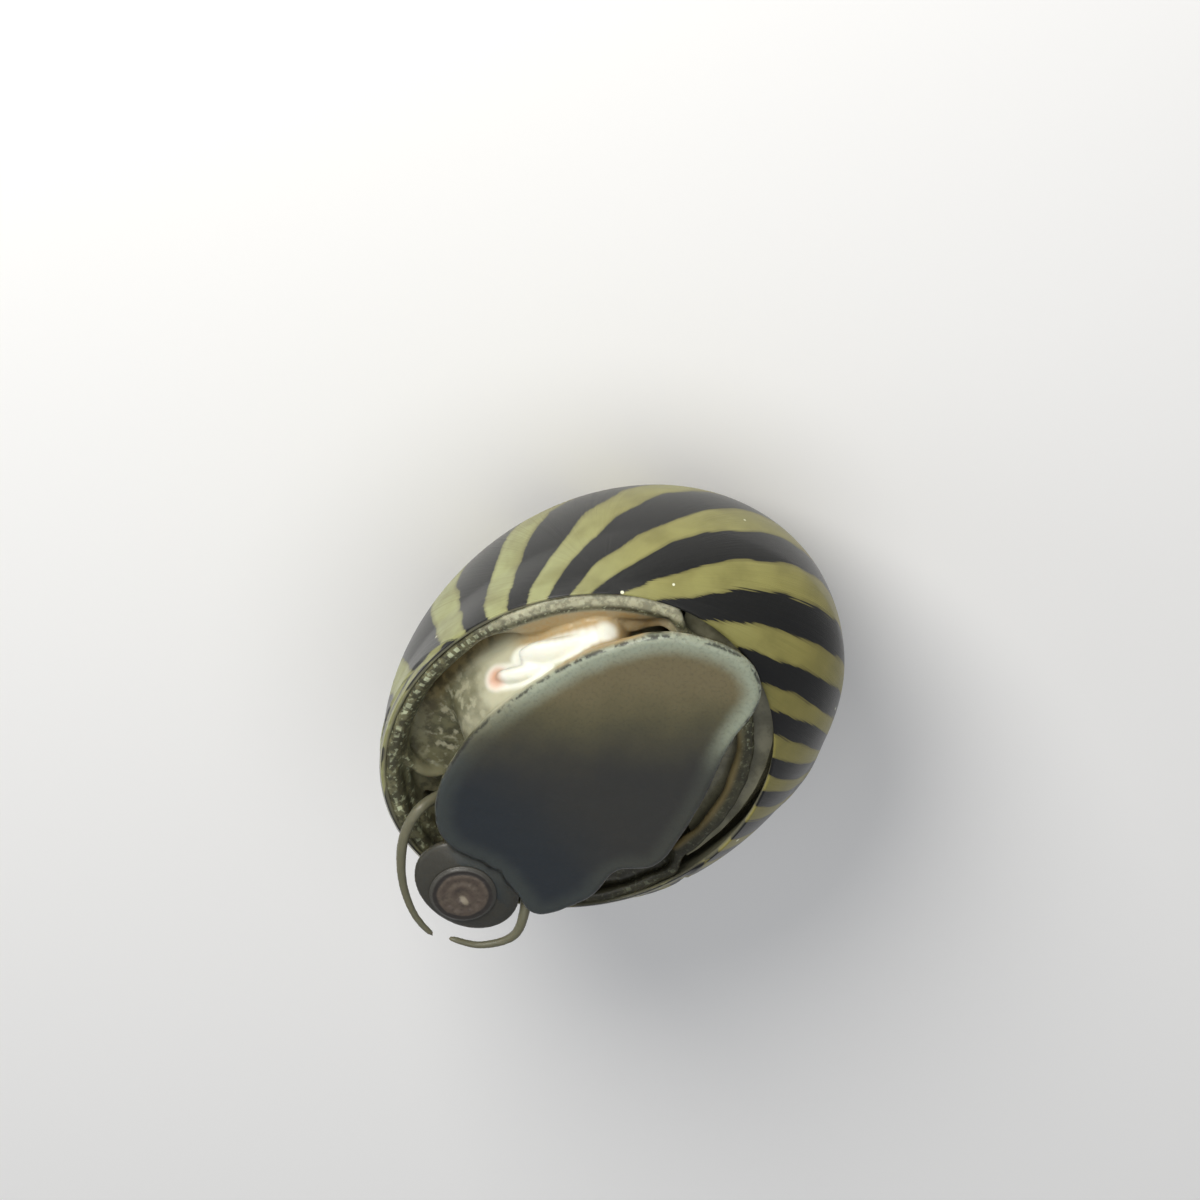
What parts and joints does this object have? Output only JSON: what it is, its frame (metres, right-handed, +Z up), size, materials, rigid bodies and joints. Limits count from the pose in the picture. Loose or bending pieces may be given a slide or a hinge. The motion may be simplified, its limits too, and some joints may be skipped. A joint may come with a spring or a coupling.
{
  "type": "nerite snail",
  "caption": "Life-size model of a crawling zebra nerite, laid on the top of its banded shell so that its sole, mouth and mantle show.",
  "frame": {"origin": "under the middle of the snail's box, on the plane that the shell rests on", "axes": "+Z up, out of the sole; -Y towards the head; +X towards the animal's own right"},
  "size_m": [0.0192, 0.0244, 0.016],
  "materials": {
    "shell": "glossy yellow-green shell with blue-black bands that fan out from the spire",
    "deck": "smooth pale callus",
    "operculum": "fine curved growth lines, satin",
    "sole": "moist slate grey flesh with a paler grey-green margin",
    "body": "moist cream flesh",
    "mantle": "moist, mottled black and olive with cream spots",
    "lining": "moist translucent orange-brown skirt",
    "gill": "moist pearly white",
    "mouth": "moist red-brown lips in rings",
    "feeler": "moist grey-olive skin",
    "eye": "glossy black"
  },
  "bodies": {
    "root": {"shell_body_whorl": "shell", "shell_lip": "shell", "shell_spire": "shell", "shell_deck": "deck", "operculum": "operculum", "foot_front": "sole", "foot_middle": "sole", "foot_tail": "sole", "body_stalk": "body", "body_hump": "body", "mantle_edge_rear": "mantle", "mantle_edge_left": "mantle", "mantle_edge_front_left": "mantle", "mantle_edge_front": "mantle", "mantle_edge_right": "mantle", "mantle_lining": "lining", "gill_leaf_upper": "gill", "gill_leaf_lower": "gill", "head": "sole", "snout": "sole", "mouth": "mouth", "tentacle_left_base": "feeler", "tentacle_left_middle": "feeler", "tentacle_left_tip": "feeler", "eye_stalk_left": "feeler", "eye_left": "eye", "tentacle_right_base": "feeler", "tentacle_right_middle": "feeler", "tentacle_right_tip": "feeler", "eye_stalk_right": "feeler", "eye_right": "eye"}
  },
  "joints": []
}
